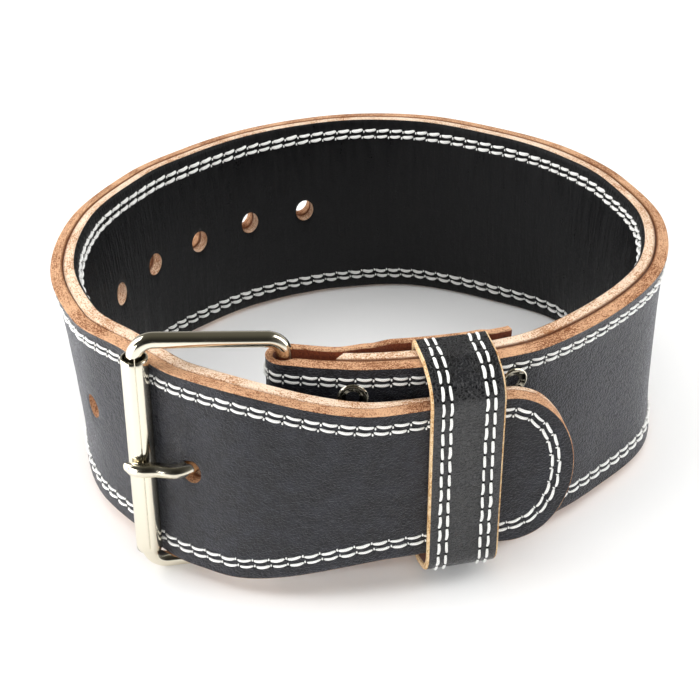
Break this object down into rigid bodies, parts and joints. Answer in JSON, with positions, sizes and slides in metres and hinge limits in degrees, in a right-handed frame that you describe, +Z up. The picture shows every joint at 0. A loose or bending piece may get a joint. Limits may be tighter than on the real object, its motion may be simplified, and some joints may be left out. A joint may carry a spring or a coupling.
{
  "type": "weightlifting belt",
  "caption": "Two-layer leather weightlifting belt closed into a loop by a single-prong roller buckle, with its rounded tail held down by a leather keeper.",
  "frame": {"origin": "centre of the bounding box's bottom face, on the surface that the belt stands on", "axes": "+Z up along the strap's width, +X along the front of the belt from the buckle towards the tail's tip, +Y from the front of the belt towards its back"},
  "size_m": [0.2834, 0.2592, 0.1239],
  "materials": {
    "black_leather": "semi-gloss black leather with a fine grain, tan at its cut edges",
    "tan_leather": "raw tan leather with fibrous cut edges",
    "keeper_leather": "glossy black leather with a coarser grain",
    "nickel": "polished warm nickel plate"
  },
  "bodies": {
    "root": {"outer_layer": "black_leather", "inner_layer": "tan_leather", "buckle_frame": "nickel", "roller": "nickel", "prong": "nickel", "keeper": "keeper_leather", "rivet_1": "nickel", "rivet_2": "nickel", "rivet_3": "nickel", "rivet_4": "nickel"}
  },
  "joints": []
}
